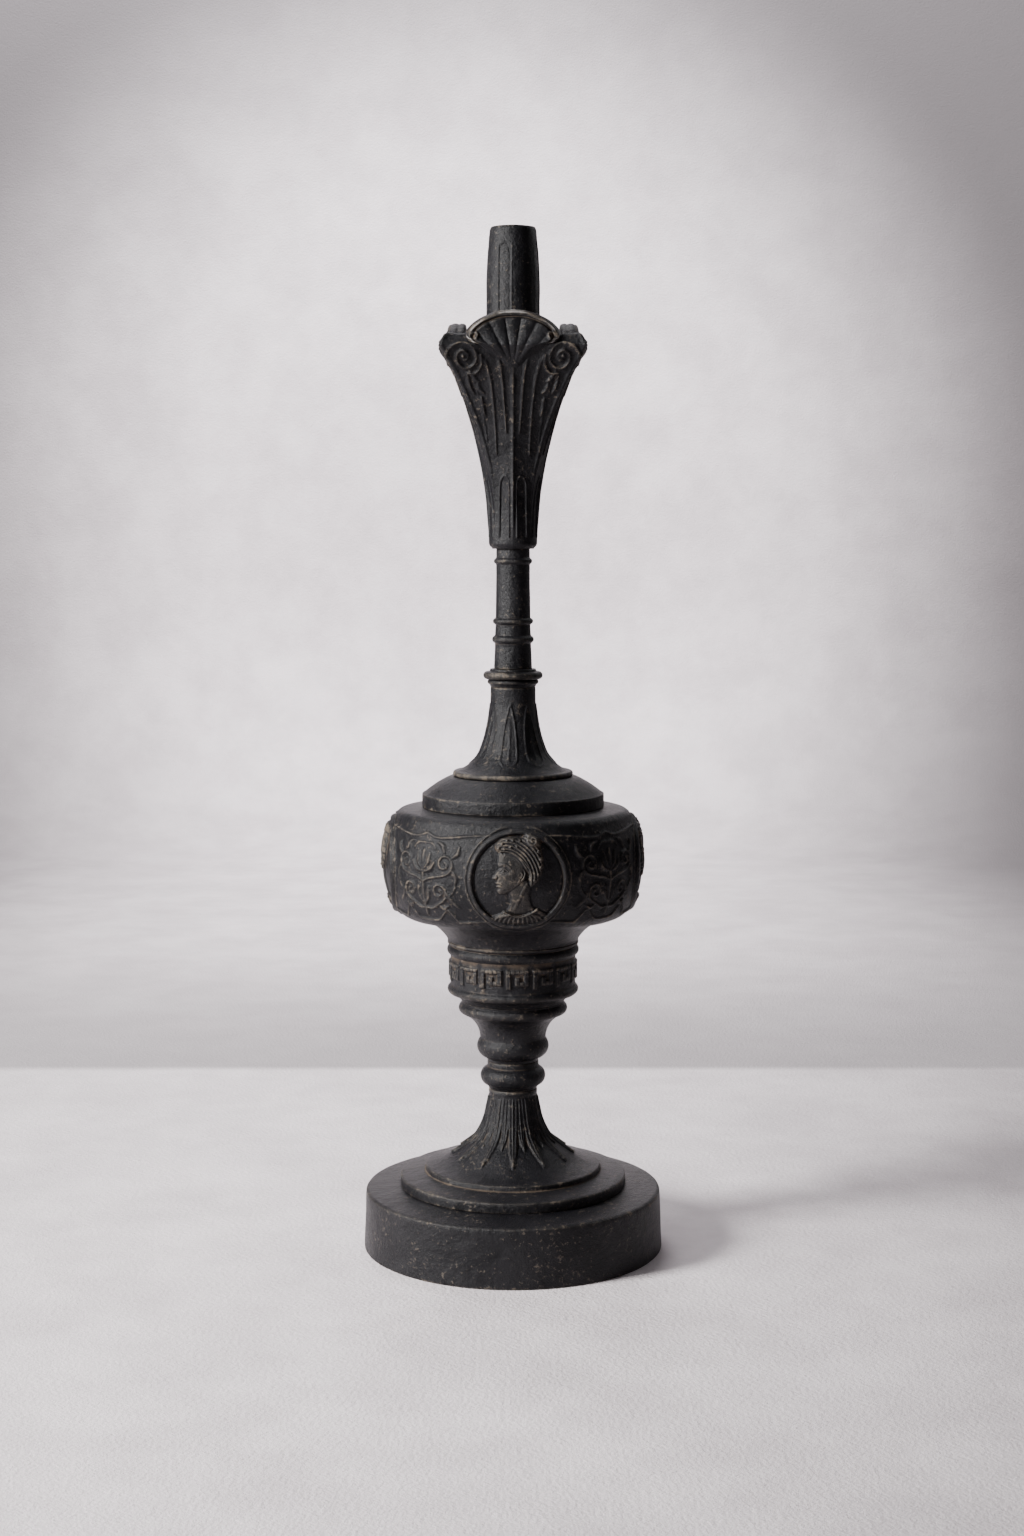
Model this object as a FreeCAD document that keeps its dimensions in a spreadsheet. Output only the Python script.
import FreeCAD, Part
import Sketcher
import collections
import math
import os
import re

# An ornamental cast-iron column candlestick: hollow castings stacked on one long threaded rod,
# four portrait medallions screwed to the drum from inside, and a drip pan and a candle nozzle
# that lift out of the square capital.  +Z is up, the origin is the middle of the foot ring's
# underside, and -Y is the front.  Sizes are millimetres, angles degrees.

SIZES = {
    # fits
    "casting_gap": 0.1,          # radial play of one casting's spigot in the next casting
    "spigot_end_gap": 0.3,       # room left under a spigot, so that the outer faces meet
    "spigot_length": 3,
    "running_gap": 0.05,         # radial play of the pieces that lift out by hand
    "thread_gap": 0.05,
    "rod_hole_gap": 0.5,

    # M8 draw rod with its nuts and washers
    "rod_radius": 4,
    "rod_past_nut": 2,
    "nut_across_flats": 13,
    "nut_height": 6.5,
    "washer_thickness": 1.6,
    "base_washer_radius": 12,
    "top_washer_radius": 8,

    # plinth: a round dish, open below
    "plinth_radius": 75,
    "plinth_draft": 1,
    "plinth_side_height": 28,
    "plinth_edge_round": 1.8,
    "plinth_height": 31.5,
    "plinth_wall": 4.5,
    "plinth_corner_round": 4,
    "plinth_boss_radius": 18,
    "plinth_boss_height": 9,
    "plinth_ring_radius": 40,    # raised disc that centres the foot
    "plinth_ring_height": 3,

    # foot: two steps and a tall flare
    "foot_height": 48.5,
    "foot_radius": 56.5,
    "foot_margin": 0.5,
    "foot_step_height": 5.2,
    "foot_edge_round": 1,
    "foot_upper_radius": 43.8,
    "foot_upper_foot": 7,
    "foot_upper_height": 9.9,
    "foot_flare_bend": 35.3,
    "foot_waist_radius": 15,
    "foot_waist_height": 34.5,
    "foot_neck_radius": 12,
    "foot_wall": 4.5,

    # knop and baluster, on narrow spigots
    "narrow_spigot_radius": 8,
    "knop_height": 14,
    "knop_neck_radius": 12.8,
    "knop_ring_middle": 6.3,
    "knop_ring_half": 4.7,
    "knop_ring_swell": 3.5,
    "baluster_height": 30.5,
    "baluster_neck_radius": 12.8,
    "baluster_neck_height": 1.6,
    "baluster_waist_radius": 16.3,
    "baluster_waist_height": 11.5,
    "baluster_swell_bend": 5.9,
    "baluster_cove_bend": 14,
    "baluster_lip_radius": 25,
    "baluster_lip_middle": 26.8,
    "baluster_lip_half": 2.7,
    "baluster_lip_swell": 2.2,
    "baluster_top_radius": 25.7,

    # key band: a drum with a bead above and below the plain field of the running key
    "middle_spigot_radius": 16,
    "key_band_height": 30.5,
    "key_cove_bend": 8,
    "key_field_radius": 31.1,
    "key_low_bead_middle": 6.1,
    "key_low_bead_half": 2.1,
    "key_low_bead_swell": 1.6,
    "key_top_bead_middle": 25.9,
    "key_top_bead_half": 2.5,
    "key_top_bead_swell": 1.7,
    "key_top_radius": 32.6,
    "key_top_edge": 1.4,
    "key_hollow_radius": 21,
    "key_floor": 5,

    # drum: a round bowl with four flat pads for the medallions
    "wide_spigot_radius": 24,
    "drum_height": 67,
    "drum_turn": 2.5,            # the drum stands slightly turned on the rod
    "drum_foot_edge": 1.2,
    "drum_flare_radius": 53,
    "drum_flare_height": 13.2,
    "drum_flare_bend": 26,
    "drum_turn_bend": 9,
    "drum_end_radius": 58.5,
    "drum_wall_start": 18,
    "drum_wall_end": 62,
    "drum_barrel_swell": 4.6,
    "drum_top_round": 5,
    "drum_top_radius": 54.5,
    "drum_top_fall": 1,
    "drum_inner_radius": 56,
    "drum_inner_start": 22,
    "drum_inner_end": 58,
    "drum_floor": 7,
    "drum_floor_radius": 34,
    "lid_spigot_radius": 42,
    "lid_spigot_length": 4,

    # medallions: curved plaques on the barrel, each held by a stud and a nut
    "medallion_height": 39,      # height of their centres above the drum's seat
    "medallion_radius": 24.3,
    "medallion_gap": 0.1,
    "medallion_thickness": 2,
    "medallion_overlap": 1,
    "nut_seat_distance": 50,     # distance of the flat nut seats from the column's axis
    "nut_seat_radius": 8,
    "stud_radius": 2.5,
    "stud_hole_gap": 0.3,
    "stud_past_nut": 2,
    "stud_nut_across_flats": 8,
    "stud_nut_height": 4,

    # shoulder: the drum's lid
    "shoulder_height": 15,
    "shoulder_band_radius": 45,
    "shoulder_band_height": 6.6,
    "shoulder_band_step": 0.8,
    "shoulder_top_radius": 31,
    "shoulder_dome_bend": 50,
    "shoulder_wall": 6,
    "shoulder_roof_radius": 24,
    "shoulder_roof_drop": 7,

    # neck: a disc and a tall trumpet
    "neck_spigot_radius": 12,
    "neck_height": 44,
    "neck_disc_radius": 28.6,
    "neck_disc_height": 2.8,
    "neck_flare_foot_radius": 27,
    "neck_flare_radius": 16.6,
    "neck_flare_height": 12.2,
    "neck_flare_bend": 20,
    "neck_taper_bend": 77,
    "neck_top_radius": 11.1,
    "neck_top_edge": 4,

    # collar between the neck and the shaft
    "collar_spigot_radius": 7,
    "collar_height": 9,
    "collar_radius": 11.4,
    "collar_ring_middle": 2.6,
    "collar_ring_half": 1.3,
    "collar_ring_swell": 1.2,
    "collar_torus_radius": 13.1,
    "collar_torus_foot": 3.9,
    "collar_torus_height": 3.8,

    # shaft with three rings
    "thin_spigot_radius": 6.4,
    "shaft_height": 59,
    "shaft_foot_radius": 9.4,
    "shaft_radius": 8.8,
    "shaft_top_radius": 8.2,
    "shaft_low_ring_middle": 14.4,
    "shaft_low_ring_half": 1.8,
    "shaft_low_ring_swell": 1.5,
    "shaft_mid_ring_middle": 23.3,
    "shaft_mid_ring_half": 1.5,
    "shaft_mid_ring_swell": 1.4,
    "shaft_top_ring_drop": 6.3,
    "shaft_top_ring_half": 1.4,
    "shaft_top_ring_swell": 1.2,

    # capital: round at the foot, square with a keel down each face at the top
    "capital_flare_height": 95.5,
    "capital_height": 101.5,
    "capital_foot_radius": 11.8,
    "capital_keel_radius": 33.5,
    "capital_corner_radius": 49.4,
    "capital_flare_power": 1.95,
    "capital_corner_power": 2.2,
    "capital_slab_taper": 4,
    "capital_floor": 79,
    "capital_ledge": 97,
    "capital_well_radius": 17,
    "capital_mouth_radius": 26,
    "lip_half_width": 22,
    "lip_foot": 96,
    "lip_side": 104,
    "lip_height": 109.5,
    "lip_front": 34.5,
    "lip_thickness": 5.5,

    # drip pan in the capital's mouth
    "pan_radius": 25.4,
    "pan_rim_height": 5.6,
    "pan_rim_width": 1.6,
    "pan_floor": 3,
    "pan_hub_radius": 15,
    "pan_hub_height": 4.5,
    "pan_guide_length": 8,

    # candle nozzle
    "nozzle_height": 53,
    "nozzle_spigot_radius": 11,
    "nozzle_spigot_length": 8.5,
    "nozzle_seat_radius": 14.2,
    "nozzle_seat_height": 1.6,
    "nozzle_radius": 13,
    "nozzle_straight": 25.5,
    "nozzle_taper_bend": 320,
    "nozzle_rim_radius": 11.35,
    "nozzle_rim_drop": 1.4,
    "nozzle_rim_chamfer": 0.6,
    "candle_hole_radius": 10,
    "candle_hole_depth": 28.6,
    "nozzle_floor": 4,
    "nozzle_hollow_radius": 8,
}

document = FreeCAD.newDocument("candlestick")
sheet = document.addObject("Spreadsheet::Sheet", "Sizes")
for row, (name, number) in enumerate(SIZES.items(), start=1):
    sheet.set("A%d" % row, name)
    sheet.set("B%d" % row, str(number))
    sheet.setAlias("B%d" % row, name)
document.recompute()


def sized(formula):
    """Point each size name in a formula at the sheet."""
    return re.sub(r"[a-z][a-z_]+", lambda word: sheet.Name + "." + word.group(0)
                  if word.group(0) in SIZES else word.group(0), formula)


def number(formula):
    """The present value of a formula of sizes."""
    return float(sheet.evalExpression(sized(formula)))


# heights of the seats, each casting standing on the one before
FOOT_SEAT = "plinth_height"
KNOP_SEAT = FOOT_SEAT + " + foot_height"
BALUSTER_SEAT = KNOP_SEAT + " + knop_height"
KEY_BAND_SEAT = BALUSTER_SEAT + " + baluster_height"
DRUM_SEAT = KEY_BAND_SEAT + " + key_band_height"
SHOULDER_SEAT = DRUM_SEAT + " + drum_height"
NECK_SEAT = SHOULDER_SEAT + " + shoulder_height"
COLLAR_SEAT = NECK_SEAT + " + neck_height"
SHAFT_SEAT = COLLAR_SEAT + " + collar_height"
CAPITAL_SEAT = SHAFT_SEAT + " + shaft_height"
PAN_SEAT = CAPITAL_SEAT + " + capital_ledge"
NOZZLE_SEAT = PAN_SEAT + " + pan_hub_height"
MEDALLION_CENTRE = DRUM_SEAT + " + medallion_height"
BOSS_FACE = "plinth_height - plinth_boss_height"
NUT_FLOOR = CAPITAL_SEAT + " + capital_floor"

ROD_HOLE = "rod_radius + rod_hole_gap"
SPIGOT_HOLE_DEPTH = "spigot_length + spigot_end_gap"


# ---------------------------------------------------------------------------------------------
# Sketching.  An outline is a closed list of corners, walked with the metal on the left, each
# reached by a straight line or by an arc that swells out of the metal or bites into it.
Corner = collections.namedtuple("Corner", "across up bend side")
SWELLS, BITES = 1, -1
ORIGIN, ACROSS_AXIS, UP_AXIS = -1, -1, -2


def to(across, up):
    return Corner(across, up, None, 0)


def round_to(across, up, bend):
    return Corner(across, up, bend, SWELLS)


def hollow_to(across, up, bend):
    return Corner(across, up, bend, BITES)


def ring(radius, middle, half, swell):
    """A half-round ring that swells out of a straight wall."""
    bend = "(({h})^2 + ({s})^2) / (2 * ({s}))".format(h=half, s=swell)
    return [to(radius, "%s - %s" % (middle, half)), round_to(radius, "%s + %s" % (middle, half), bend)]


def spigot_below(radius):
    """The end of a casting that stands in the one below, from the rod hole out to the seat."""
    return [to(ROD_HOLE, "-spigot_length"), to(radius, "-spigot_length"), to(radius, "0")]


def socket_above(radius, height):
    """The hole in a casting's top that takes the next casting's spigot, in to the rod hole."""
    floor = "%s - (%s)" % (height, SPIGOT_HOLE_DEPTH)
    return [to(radius + " + casting_gap", height), to(radius + " + casting_gap", floor),
            to(ROD_HOLE, floor)]


def arc_between(start, end, radius, side):
    """The arc of a given radius between two points, and whether it runs from start to end."""
    middle = (start + end) * 0.5
    chord = end - start
    leftward = FreeCAD.Vector(-chord.y, chord.x, 0).normalize()
    rise = math.sqrt(max(radius ** 2 - (chord.Length / 2) ** 2, 0))
    centre = middle + leftward * (rise * side)
    first, last = (start, end) if side == SWELLS else (end, start)
    angles = [math.atan2(point.y - centre.y, point.x - centre.x) for point in (first, last)]
    if angles[1] <= angles[0]:
        angles[1] += 2 * math.pi
    circle = Part.Circle(centre, FreeCAD.Vector(0, 0, 1), radius)
    return Part.ArcOfCircle(circle, angles[0], angles[1])


def bind(sketch, kind, items, formula):
    """Add a dimension to a sketch and tie it to the sheet."""
    place = sketch.addConstraint(Sketcher.Constraint(kind, *items, number(formula)))
    sketch.setExpression("Constraints[%d]" % place, sized(formula))


def draw(sketch, corners):
    """Draw a closed outline whose every corner and bend is tied to the sheet."""
    points = [FreeCAD.Vector(number(corner.across), number(corner.up), 0) for corner in corners]
    starts, ends = [], []
    for index, corner in enumerate(corners):
        before, here = points[index - 1], points[index]
        if corner.bend is None:
            sketch.addGeometry(Part.LineSegment(before, here), False)
        else:
            sketch.addGeometry(arc_between(before, here, number(corner.bend), corner.side), False)
        forward = corner.side != BITES
        starts.append(1 if forward else 2)
        ends.append(2 if forward else 1)
    for index, corner in enumerate(corners):
        following = (index + 1) % len(corners)
        sketch.addConstraint(Sketcher.Constraint("Coincident", index, ends[index],
                                                 following, starts[following]))
        for kind, axis, formula in (("DistanceX", UP_AXIS, corner.across),
                                    ("DistanceY", ACROSS_AXIS, corner.up)):
            if formula == "0":
                sketch.addConstraint(Sketcher.Constraint("PointOnObject", index, ends[index], axis))
            else:
                bind(sketch, kind, (ORIGIN, 1, index, ends[index]), formula)
        if corner.bend is not None:
            bind(sketch, "Radius", (index,), corner.bend)


def origin_plane(body, role):
    return [item for item in body.Origin.OriginFeatures if item.Role == role][0]


def sketch_on(body, role, name):
    """An empty sketch flat on one of a body's own planes."""
    sketch = body.newObject("Sketcher::SketchObject", name)
    sketch.AttachmentSupport = (origin_plane(body, role), "")
    sketch.MapMode = "FlatFace"
    return sketch


def new_body(label, seat):
    body = document.addObject("PartDesign::Body", label)
    body.Label = label
    body.setExpression("Placement.Base.z", sized(seat))
    return body


def turn(body, outline, name="turning", kind="PartDesign::Revolution"):
    """Turn an upright outline about the body's own Z axis, to add metal or to cut it away."""
    sketch = sketch_on(body, "XZ_Plane", name + "_outline")
    draw(sketch, outline)
    document.recompute()
    feature = body.newObject(kind, name)
    feature.Profile = sketch
    feature.ReferenceAxis = (sketch, ["V_Axis"])
    feature.Angle = 360
    document.recompute()
    return feature


def turned(label, seat, outline):
    """A casting that is one turned outline, standing at its seat."""
    body = new_body(label, seat)
    turn(body, outline)
    return body


def round_about(body, features, count, name):
    """Repeat features around the body's Z axis."""
    pattern = body.newObject("PartDesign::PolarPattern", name)
    pattern.Originals = features
    axis = [item for item in body.Origin.OriginFeatures if item.Role == "Z_Axis"][0]
    pattern.Axis = (axis, [""])
    pattern.Angle = 360
    pattern.Occurrences = count
    body.Tip = pattern
    document.recompute()
    return pattern


# ---------------------------------------------------------------------------------------------
# The castings, from the floor up.
def make_plinth():
    """A drafted round dish with a boss for the rod and a raised disc that centres the foot."""
    wall_top = "plinth_side_height + plinth_edge_round"
    side = "plinth_radius - plinth_draft"
    inner = "plinth_radius - plinth_wall"
    roof = wall_top + " - plinth_wall"
    return turned("plinth", "0", [
        to("plinth_radius", "0"),
        to(side, "plinth_side_height"),
        round_to(side + " - plinth_edge_round", wall_top, "plinth_edge_round"),
        to("foot_radius + foot_margin", "plinth_height"),
        to("plinth_ring_radius", "plinth_height"),
        to("plinth_ring_radius", "plinth_height + plinth_ring_height"),
        to(ROD_HOLE, "plinth_height + plinth_ring_height"),
        to(ROD_HOLE, BOSS_FACE),
        to("plinth_boss_radius", BOSS_FACE),
        to("plinth_boss_radius", "plinth_height - plinth_wall"),
        to(inner + " - plinth_corner_round", roof),
        hollow_to(inner, roof + " - plinth_corner_round", "plinth_corner_round"),
        to(inner, "0"),
    ])


def make_foot():
    """Two low steps under a tall flare, hollow, dropped over the plinth's raised disc."""
    opening = "plinth_ring_radius + casting_gap"
    upper_side = "foot_upper_height - foot_edge_round"
    return turned("foot", FOOT_SEAT, [
        to(opening, "0"),
        to("foot_radius", "0"),
        to("foot_radius", "foot_step_height - foot_edge_round"),
        round_to("foot_radius - foot_edge_round", "foot_step_height", "foot_edge_round"),
        to("foot_upper_radius", "foot_upper_foot"),
        to("foot_upper_radius", upper_side),
        round_to("foot_upper_radius - foot_edge_round", "foot_upper_height", "foot_edge_round"),
        hollow_to("foot_waist_radius", "foot_waist_height", "foot_flare_bend"),
        to("foot_neck_radius", "foot_height"),
        *socket_above("narrow_spigot_radius", "foot_height"),
        to(ROD_HOLE, "foot_waist_height + foot_wall"),
        to("foot_waist_radius - foot_wall", "foot_waist_height - foot_wall"),
        round_to(opening, "foot_upper_height - foot_wall", "foot_flare_bend + foot_wall"),
    ])


def make_lower_knop():
    """A plain round bead between the foot and the baluster."""
    return turned("lower_knop", KNOP_SEAT, [
        *spigot_below("narrow_spigot_radius"),
        to("foot_neck_radius", "0"),
        *ring("knop_neck_radius", "knop_ring_middle", "knop_ring_half", "knop_ring_swell"),
        to("knop_neck_radius", "knop_height"),
        *socket_above("narrow_spigot_radius", "knop_height"),
    ])


def make_baluster():
    """A swelling neck that coves out to a half-round lip."""
    return turned("baluster", BALUSTER_SEAT, [
        *spigot_below("narrow_spigot_radius"),
        to("baluster_neck_radius", "0"),
        to("baluster_neck_radius", "baluster_neck_height"),
        round_to("baluster_waist_radius", "baluster_waist_height", "baluster_swell_bend"),
        hollow_to("baluster_lip_radius", "baluster_lip_middle - baluster_lip_half",
                  "baluster_cove_bend"),
        *ring("baluster_lip_radius", "baluster_lip_middle", "baluster_lip_half",
              "baluster_lip_swell")[1:],
        to("baluster_top_radius", "baluster_height"),
        *socket_above("middle_spigot_radius", "baluster_height"),
    ])


def make_key_band():
    """A hollow cup with a cove below, and a bead on either side of a straight field."""
    socket = "wide_spigot_radius + casting_gap"
    ledge = "key_band_height - (%s)" % SPIGOT_HOLE_DEPTH
    low_bead = ring("key_field_radius", "key_low_bead_middle", "key_low_bead_half",
                    "key_low_bead_swell")
    return turned("key_band", KEY_BAND_SEAT, [
        *spigot_below("middle_spigot_radius"),
        to("baluster_top_radius", "0"),
        hollow_to(low_bead[0].across, low_bead[0].up, "key_cove_bend"),
        low_bead[1],
        *ring("key_field_radius", "key_top_bead_middle", "key_top_bead_half", "key_top_bead_swell"),
        to("key_top_radius", "key_band_height - key_top_edge"),
        to("key_top_radius", "key_band_height"),
        to(socket, "key_band_height"),
        to(socket, ledge),
        to("key_hollow_radius", ledge),
        to("key_hollow_radius", "key_floor"),
        to(ROD_HOLE, "key_floor"),
    ])


BARREL_HALF = "((drum_wall_end - drum_wall_start) / 2)"
BARREL_BEND = "((%s^2 + drum_barrel_swell^2) / (2 * drum_barrel_swell))" % BARREL_HALF
BARREL_RADIUS = "drum_end_radius + drum_barrel_swell"


def barrel_at(height):
    """The barrel's radius at a height; its side is one arc."""
    off_middle = "((%s) - (drum_wall_start + drum_wall_end) / 2)" % height
    return "%s - %s + sqrt(%s^2 - %s^2)" % (BARREL_RADIUS, BARREL_BEND, BARREL_BEND, off_middle)


def circle_facing(body, name, radius, distance):
    """A circle on a medallion's axis, square to it, at a distance from the column's axis."""
    sketch = sketch_on(body, "YZ_Plane", name)
    centre = FreeCAD.Vector(0, number("medallion_height"), 0)
    sketch.addGeometry(Part.Circle(centre, FreeCAD.Vector(0, 0, 1), number(radius)), False)
    sketch.addConstraint(Sketcher.Constraint("PointOnObject", 0, 3, UP_AXIS))
    bind(sketch, "DistanceY", (ORIGIN, 1, 0, 3), "medallion_height")
    bind(sketch, "Radius", (0,), radius)
    sketch.setExpression("AttachmentOffset.Base.z", sized(distance))
    return sketch


def extruded(body, name, kind, sketch, length):
    feature = body.newObject(kind, name)
    feature.Profile = sketch
    feature.setExpression("Length", sized(length))
    document.recompute()
    return feature


def make_drum():
    """A barrel-sided bowl, open above for its lid, drilled for the medallions' studs."""
    opening = "lid_spigot_radius + casting_gap"
    drum = turned("drum", DRUM_SEAT, [
        *spigot_below("wide_spigot_radius"),
        to("key_top_radius", "0"),
        to("key_top_radius", "drum_foot_edge"),
        hollow_to("drum_flare_radius", "drum_flare_height", "drum_flare_bend"),
        round_to("drum_end_radius", "drum_wall_start", "drum_turn_bend"),
        round_to("drum_end_radius", "drum_wall_end", BARREL_BEND),
        round_to("drum_top_radius", "drum_height - drum_top_fall", "drum_top_round"),
        to("shoulder_band_radius", "drum_height"),
        to(opening, "drum_height"),
        to(opening, "drum_height - lid_spigot_length - spigot_end_gap"),
        to("drum_inner_radius", "drum_inner_end"),
        to("drum_inner_radius", "drum_inner_start"),
        to("drum_floor_radius", "drum_floor"),
        to(ROD_HOLE, "drum_floor"),
    ])
    seat_circle = circle_facing(drum, "nut_seat_circle", "nut_seat_radius", "nut_seat_distance")
    into_wall = "drum_inner_radius + 1 - nut_seat_distance"
    seat = extruded(drum, "nut_seat", "PartDesign::Pad", seat_circle, into_wall)
    round_about(drum, [seat], 4, "nut_seats")

    hole_radius = "stud_radius + stud_hole_gap"
    hole_circle = circle_facing(drum, "stud_hole_circle", hole_radius, BARREL_RADIUS + " + 1")
    before = drum.Shape.Volume
    hole = extruded(drum, "stud_hole", "PartDesign::Pocket", hole_circle,
                    BARREL_RADIUS + " + 2 - nut_seat_distance")
    round_about(drum, [hole], 4, "stud_holes")
    drilled = 4 * math.pi * number("(%s)^2 * (%s - nut_seat_distance)" % (hole_radius, BARREL_RADIUS))
    if not math.isclose(before - drum.Shape.Volume, drilled, rel_tol=0.02):
        raise SystemExit("the drum's stud holes are not drilled through its wall")
    drum.Placement.Rotation = FreeCAD.Rotation(FreeCAD.Vector(0, 0, 1), number("drum_turn"))
    return drum


def make_medallion(label, azimuth):
    """A round plaque that follows the barrel, with a cast-in stud behind."""
    medallion = new_body(label, DRUM_SEAT)
    low = "medallion_height - medallion_radius - medallion_overlap"
    high = "medallion_height + medallion_radius + medallion_overlap"
    shell = turn(medallion, [
        to(barrel_at(low) + " + medallion_thickness", low),
        round_to(barrel_at(high) + " + medallion_thickness", high, BARREL_BEND),
        to(barrel_at(high) + " + medallion_gap", high),
        hollow_to(barrel_at(low) + " + medallion_gap", low, BARREL_BEND),
    ], "shell")
    shell.Midplane = True
    shell.Angle = 60
    stud_circle = circle_facing(medallion, "stud_circle", "stud_radius",
                                "nut_seat_distance - stud_nut_height - stud_past_nut")
    extruded(medallion, "stud", "PartDesign::Pad", stud_circle,
             "%s + medallion_thickness / 2 - (nut_seat_distance - stud_nut_height - stud_past_nut)"
             % BARREL_RADIUS)
    outside = circle_facing(medallion, "outline", "medallion_radius",
                            BARREL_RADIUS + " + medallion_thickness + 1")
    reach = 2 * number("medallion_radius")
    middle = number("medallion_height")
    corners = [FreeCAD.Vector(side * reach, middle + rise * reach, 0)
               for side, rise in ((-1, -1), (1, -1), (1, 1), (-1, 1))]
    for index, corner in enumerate(corners):
        outside.addGeometry(Part.LineSegment(corners[index - 1], corner), False)
    for index in range(4):
        outside.addConstraint(Sketcher.Constraint("Coincident", index + 1, 2,
                                                  (index + 1) % 4 + 1, 1))
    before = medallion.Shape.Volume
    extruded(medallion, "trim", "PartDesign::Pocket", outside, BARREL_RADIUS)
    if medallion.Shape.Volume > 0.9 * before:
        raise SystemExit("%s is not trimmed to its round outline" % label)
    turned_by = FreeCAD.Rotation(FreeCAD.Vector(0, 0, 1), azimuth + number("drum_turn"))
    medallion.Placement.Rotation = turned_by
    return medallion


def make_shoulder():
    """The drum's domed lid, with a plain band at its edge and a ring that drops in the drum."""
    inner = "lid_spigot_radius - shoulder_wall"
    return turned("shoulder", SHOULDER_SEAT, [
        to(inner, "-lid_spigot_length"),
        to("lid_spigot_radius", "-lid_spigot_length"),
        to("lid_spigot_radius", "0"),
        to("shoulder_band_radius", "0"),
        to("shoulder_band_radius", "shoulder_band_height"),
        to("shoulder_band_radius - shoulder_band_step", "shoulder_band_height"),
        round_to("shoulder_top_radius", "shoulder_height", "shoulder_dome_bend"),
        *socket_above("neck_spigot_radius", "shoulder_height"),
        to(ROD_HOLE, "shoulder_height - shoulder_roof_drop"),
        to("shoulder_roof_radius", "shoulder_height - shoulder_roof_drop"),
    ])


def make_neck():
    """A thin disc with a half-round edge, and a trumpet that rises from it."""
    return turned("neck", NECK_SEAT, [
        *spigot_below("neck_spigot_radius"),
        to("neck_disc_radius", "0"),
        round_to("neck_disc_radius", "neck_disc_height", "neck_disc_height * 0.51"),
        to("neck_flare_foot_radius", "neck_disc_height"),
        hollow_to("neck_flare_radius", "neck_flare_height", "neck_flare_bend"),
        hollow_to("neck_top_radius", "neck_height - neck_top_edge", "neck_taper_bend"),
        to("neck_top_radius", "neck_height"),
        *socket_above("collar_spigot_radius", "neck_height"),
    ])


def make_neck_collar():
    """A small ring and a larger one above it."""
    torus_top = "collar_torus_foot + collar_torus_height"
    return turned("neck_collar", COLLAR_SEAT, [
        *spigot_below("collar_spigot_radius"),
        to("neck_top_radius", "0"),
        *ring("collar_radius", "collar_ring_middle", "collar_ring_half", "collar_ring_swell"),
        to("collar_torus_radius", "collar_torus_foot"),
        round_to("collar_torus_radius", torus_top, "collar_torus_height * 0.51"),
        to("collar_radius", torus_top),
        to("collar_radius", "collar_height"),
        *socket_above("thin_spigot_radius", "collar_height"),
    ])


def make_shaft():
    """A slim tapering column with two rings low down and one near the top."""
    return turned("shaft", SHAFT_SEAT, [
        *spigot_below("thin_spigot_radius"),
        to("shaft_foot_radius", "0"),
        *ring("shaft_radius", "shaft_low_ring_middle", "shaft_low_ring_half",
              "shaft_low_ring_swell"),
        *ring("(shaft_radius + shaft_top_radius) / 2", "shaft_mid_ring_middle",
              "shaft_mid_ring_half", "shaft_mid_ring_swell"),
        *ring("shaft_top_radius", "shaft_height - shaft_top_ring_drop", "shaft_top_ring_half",
              "shaft_top_ring_swell"),
        to("shaft_top_radius", "shaft_height"),
        *socket_above("thin_spigot_radius", "shaft_height"),
    ])


def eight_sided(body, name, keel, corner, up):
    """A level section with a vertex on each keel and each corner of the capital."""
    section = sketch_on(body, "XY_Plane", name)
    diagonal = "(%s) * sqrt(0.5)" % corner
    near_zero = "0"
    draw(section, [
        to(keel, near_zero), to(diagonal, diagonal),
        to(near_zero, keel), to("-" + diagonal, diagonal),
        to("-(%s)" % keel, near_zero), to("-" + diagonal, "-" + diagonal),
        to(near_zero, "-(%s)" % keel), to(diagonal, "-" + diagonal),
    ])
    section.setExpression("AttachmentOffset.Base.z", sized(up))
    document.recompute()
    return section


def loft(body, sections, name):
    feature = body.newObject("PartDesign::AdditiveLoft", name)
    feature.Profile = sections[0]
    feature.Sections = sections[1:]
    feature.Ruled = True
    document.recompute()
    return feature


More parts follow.
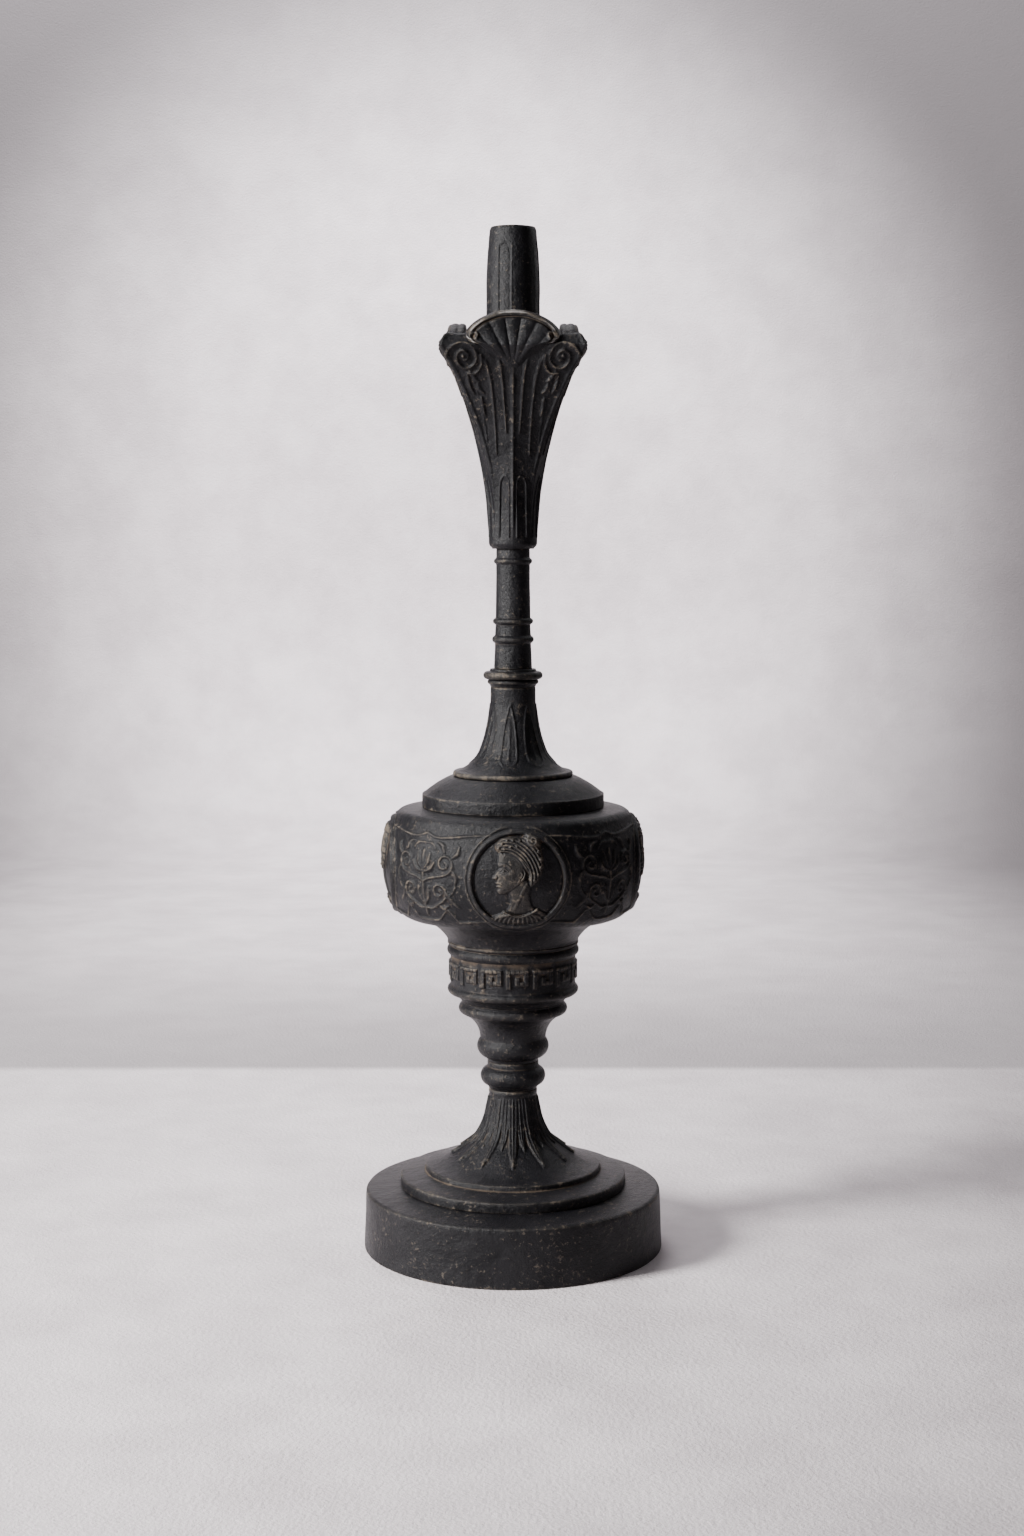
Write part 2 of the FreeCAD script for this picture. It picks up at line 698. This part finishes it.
def make_capital():
    """A flaring block, round at the foot and square above, with an arched lip on each face."""
    capital = new_body("capital", CAPITAL_SEAT)
    sections = []
    for index, share in enumerate((0, 0.24, 0.48, 0.66, 0.8, 0.91, 1)):
        keel = ("capital_foot_radius + (capital_keel_radius - capital_foot_radius)"
                " * %g^capital_flare_power" % share)
        corner = ("capital_foot_radius + (capital_corner_radius - capital_foot_radius)"
                  " * %g^capital_corner_power" % share)
        if share == 0:
            keel = corner = "capital_foot_radius"
        sections.append(eight_sided(capital, "flare_section_%d" % index, keel, corner,
                                    "capital_flare_height * %g" % share))
    loft(capital, sections, "flare")
    slab_foot = eight_sided(capital, "slab_foot", "capital_keel_radius", "capital_corner_radius",
                            "capital_flare_height")
    slab_top = eight_sided(capital, "slab_top", "capital_keel_radius - capital_slab_taper / 2",
                           "capital_corner_radius - capital_slab_taper", "capital_height")
    loft(capital, [slab_foot, slab_top], "slab")

    arch = sketch_on(capital, "XZ_Plane", "lip_arch")
    arch_rise = "(lip_height - lip_side)"
    draw(arch, [
        to("-lip_half_width", "lip_foot"),
        to("lip_half_width", "lip_foot"),
        to("lip_half_width", "lip_side"),
        round_to("-lip_half_width", "lip_side",
                 "(lip_half_width^2 + %s^2) / (2 * %s)" % (arch_rise, arch_rise)),
    ])
    arch.setExpression("AttachmentOffset.Base.z", sized("lip_front - lip_thickness"))
    lip = capital.newObject("PartDesign::Pad", "lip")
    lip.Profile = arch
    lip.setExpression("Length", sized("lip_thickness"))
    document.recompute()
    round_about(capital, [lip], 4, "lips")

    turn(capital, [
        to(ROD_HOLE, "-spigot_length"),
        to("thin_spigot_radius", "-spigot_length"),
        to("thin_spigot_radius", "capital_foot_radius"),
        to(ROD_HOLE, "capital_foot_radius"),
    ], "spigot")
    before = capital.Shape.Volume
    turn(capital, [
        to("0", "-spigot_length * 2"),
        to(ROD_HOLE, "-spigot_length * 2"),
        to(ROD_HOLE, "capital_floor"),
        to("capital_well_radius", "capital_floor"),
        to("capital_well_radius", "capital_ledge"),
        to("capital_mouth_radius", "capital_ledge"),
        to("capital_mouth_radius", "lip_height"),
        to("0", "lip_height"),
    ], "well", "PartDesign::Groove")
    if capital.Shape.Volume >= before:
        raise SystemExit("the capital's well is not cut")
    return capital


def make_wax_pan():
    """A shallow drip pan that rests on the capital's ledge, guided in its well."""
    guide = "capital_well_radius - running_gap"
    hole = "nozzle_spigot_radius + running_gap"
    rim_inner = "pan_radius - pan_rim_width"
    rim_side = "pan_rim_height - pan_rim_width / 2"
    return turned("wax_pan", PAN_SEAT, [
        to(hole, "-pan_guide_length"),
        to(guide, "-pan_guide_length"),
        to(guide, "0"),
        to("pan_radius", "0"),
        to("pan_radius", rim_side),
        round_to(rim_inner, rim_side, "pan_rim_width * 0.51"),
        to(rim_inner, "pan_floor"),
        to("pan_hub_radius", "pan_floor"),
        to("pan_hub_radius", "pan_hub_height"),
        to(hole, "pan_hub_height"),
    ])


def make_nozzle():
    """A tapering candle cup on a small seat ring, with a hollow spigot that drops in the pan."""
    hole_floor = "nozzle_height - candle_hole_depth"
    return turned("nozzle", NOZZLE_SEAT, [
        to("nozzle_hollow_radius", "-nozzle_spigot_length"),
        to("nozzle_spigot_radius", "-nozzle_spigot_length"),
        to("nozzle_spigot_radius", "0"),
        to("nozzle_seat_radius", "0"),
        to("nozzle_seat_radius", "nozzle_seat_height"),
        to("nozzle_radius", "nozzle_seat_height"),
        to("nozzle_radius", "nozzle_straight"),
        round_to("nozzle_rim_radius", "nozzle_height - nozzle_rim_drop", "nozzle_taper_bend"),
        to("candle_hole_radius + nozzle_rim_chamfer", "nozzle_height"),
        to("candle_hole_radius", "nozzle_height - nozzle_rim_chamfer"),
        to("candle_hole_radius", hole_floor),
        to("0", hole_floor),
        to("0", hole_floor + " - nozzle_floor"),
        to("nozzle_hollow_radius", hole_floor + " - nozzle_floor"),
    ])


# ---------------------------------------------------------------------------------------------
# The rod, nuts and washers that hold the stack together.
ROD_FOOT = BOSS_FACE + " - washer_thickness - nut_height - rod_past_nut"
ROD_TOP = NUT_FLOOR + " + washer_thickness + nut_height + rod_past_nut"


def cylinder(label, radius, height, foot):
    bar = document.addObject("Part::Cylinder", label)
    bar.setExpression("Radius", sized(radius))
    bar.setExpression("Height", sized(height))
    bar.setExpression("Placement.Base.z", sized(foot))
    return bar


def holed(label, blank, radius, height, foot):
    """A blank with a round hole up its middle."""
    drill = cylinder(label + "_drill", radius, height, foot)
    piece = document.addObject("Part::Cut", label)
    piece.Label = label
    piece.Base = blank
    piece.Tool = drill
    return piece


def hex_nut(label, across_flats, height, hole, foot):
    blank = document.addObject("Part::Prism", label + "_blank")
    blank.Polygon = 6
    blank.setExpression("Circumradius", sized("(%s) / sqrt(3)" % across_flats))
    blank.setExpression("Height", sized(height))
    blank.setExpression("Placement.Base.z", sized(foot))
    return holed(label, blank, hole, height, foot)


def make_washer(label, radius, foot):
    blank = cylinder(label + "_blank", radius, "washer_thickness", foot)
    return holed(label, blank, "rod_radius + rod_hole_gap", "washer_thickness", foot)


def make_rod_nut(label, foot):
    return hex_nut(label, "nut_across_flats", "nut_height", "rod_radius + thread_gap", foot)


def make_medallion_nuts(azimuths):
    """One small nut on each medallion's stud, tight against the nut seat inside the drum."""
    nuts = []
    for index, azimuth in enumerate(azimuths):
        nut = hex_nut("stud_nut_%d" % index, "stud_nut_across_flats", "stud_nut_height",
                      "stud_radius + thread_gap", "0")
        angle = math.radians(azimuth + number("drum_turn"))
        outward = FreeCAD.Vector(math.cos(angle), math.sin(angle), 0)
        nut.Placement.Rotation = FreeCAD.Rotation(FreeCAD.Vector(0, 0, 1), outward)
        bearing = "(%g + drum_turn) * 1deg" % azimuth
        reach = "(nut_seat_distance - stud_nut_height)"
        nut.setExpression("Placement.Base.x", sized("%s * cos(%s)" % (reach, bearing)))
        nut.setExpression("Placement.Base.y", sized("%s * sin(%s)" % (reach, bearing)))
        nut.setExpression("Placement.Base.z", sized(MEDALLION_CENTRE))
        nuts.append(nut)
    group = document.addObject("Part::Compound", "medallion_nuts")
    group.Label = "medallion_nuts"
    group.Links = nuts
    return group


MEDALLIONS = {"medallion_front": -90, "medallion_right": 0, "medallion_back": 90,
              "medallion_left": 180}

pieces = [
    make_plinth(),
    make_foot(),
    make_lower_knop(),
    make_baluster(),
    make_key_band(),
    make_drum(),
    *[make_medallion(label, azimuth) for label, azimuth in MEDALLIONS.items()],
    make_medallion_nuts(MEDALLIONS.values()),
    make_shoulder(),
    make_neck(),
    make_neck_collar(),
    make_shaft(),
    make_capital(),
    make_wax_pan(),
    make_nozzle(),
    cylinder("draw_rod", "rod_radius", "(%s) - (%s)" % (ROD_TOP, ROD_FOOT), ROD_FOOT),
    make_washer("base_washer", "base_washer_radius", BOSS_FACE + " - washer_thickness"),
    make_rod_nut("base_nut", BOSS_FACE + " - washer_thickness - nut_height"),
    make_washer("top_washer", "top_washer_radius", NUT_FLOOR),
    make_rod_nut("top_nut", NUT_FLOOR + " + washer_thickness"),
]
document.recompute()

for item in document.Objects:
    if {"Invalid", "Error"} & set(item.State):
        raise SystemExit("%s did not build: %s" % (item.Label, item.State))
for piece in pieces:
    if piece.Shape.isNull() or not piece.Shape.isValid():
        raise SystemExit("%s has no sound shape" % piece.Label)

os.makedirs("parts", exist_ok=True)
for piece in pieces:
    piece.Shape.exportStep("parts/%s.step" % piece.Label)
    print("%-16s %9.0f mm3" % (piece.Label, piece.Shape.Volume))
